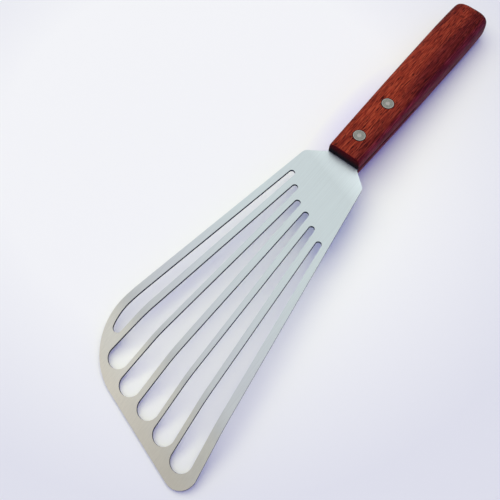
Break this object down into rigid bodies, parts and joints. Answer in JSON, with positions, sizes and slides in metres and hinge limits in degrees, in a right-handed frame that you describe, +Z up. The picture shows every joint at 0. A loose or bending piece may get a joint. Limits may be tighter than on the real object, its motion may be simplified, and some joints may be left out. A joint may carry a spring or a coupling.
{
  "type": "fish spatula",
  "caption": "Fish spatula with a slanted, fan-slotted steel blade, its front lip turned down, riveted into an oval wooden handle.",
  "frame": {"origin": "centre of the overall box in plan, on the table the spatula lies on", "axes": "+X along the length from the handle's butt to the blade's front, +Y to the side of the blade's pointed tip, +Z up; the blade's upper face looks up"},
  "size_m": [0.2817, 0.0769, 0.0233],
  "materials": {
    "steel": "fine brushed, slightly dulled by use",
    "wood": "oiled reddish-brown hardwood, fine open grain",
    "rivet": "satin"
  },
  "bodies": {
    "root": {"blade": "steel", "handle": "wood", "rivet_sockets": "rivet", "rivet_pins": "rivet"}
  },
  "joints": []
}
